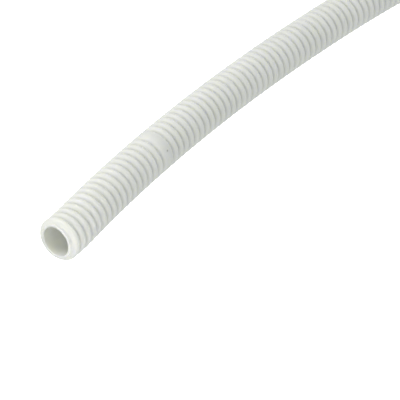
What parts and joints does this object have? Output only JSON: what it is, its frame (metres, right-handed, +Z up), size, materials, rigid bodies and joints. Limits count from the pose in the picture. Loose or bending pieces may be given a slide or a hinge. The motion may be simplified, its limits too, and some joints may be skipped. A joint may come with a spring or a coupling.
{
  "type": "corrugated conduit",
  "caption": "Cut length of semi-rigid white corrugated plastic conduit, with a smooth band near one end, lying in a gentle bend.",
  "frame": {"origin": "on the floor, under the middle of the whole tube", "axes": "+Z up; the near mouth faces -X and the far mouth faces -Y"},
  "size_m": [0.6741, 0.6149, 0.0204],
  "materials": {
    "pvc": "satin"
  },
  "bodies": {
    "root": {"conduit": "pvc"}
  },
  "joints": []
}
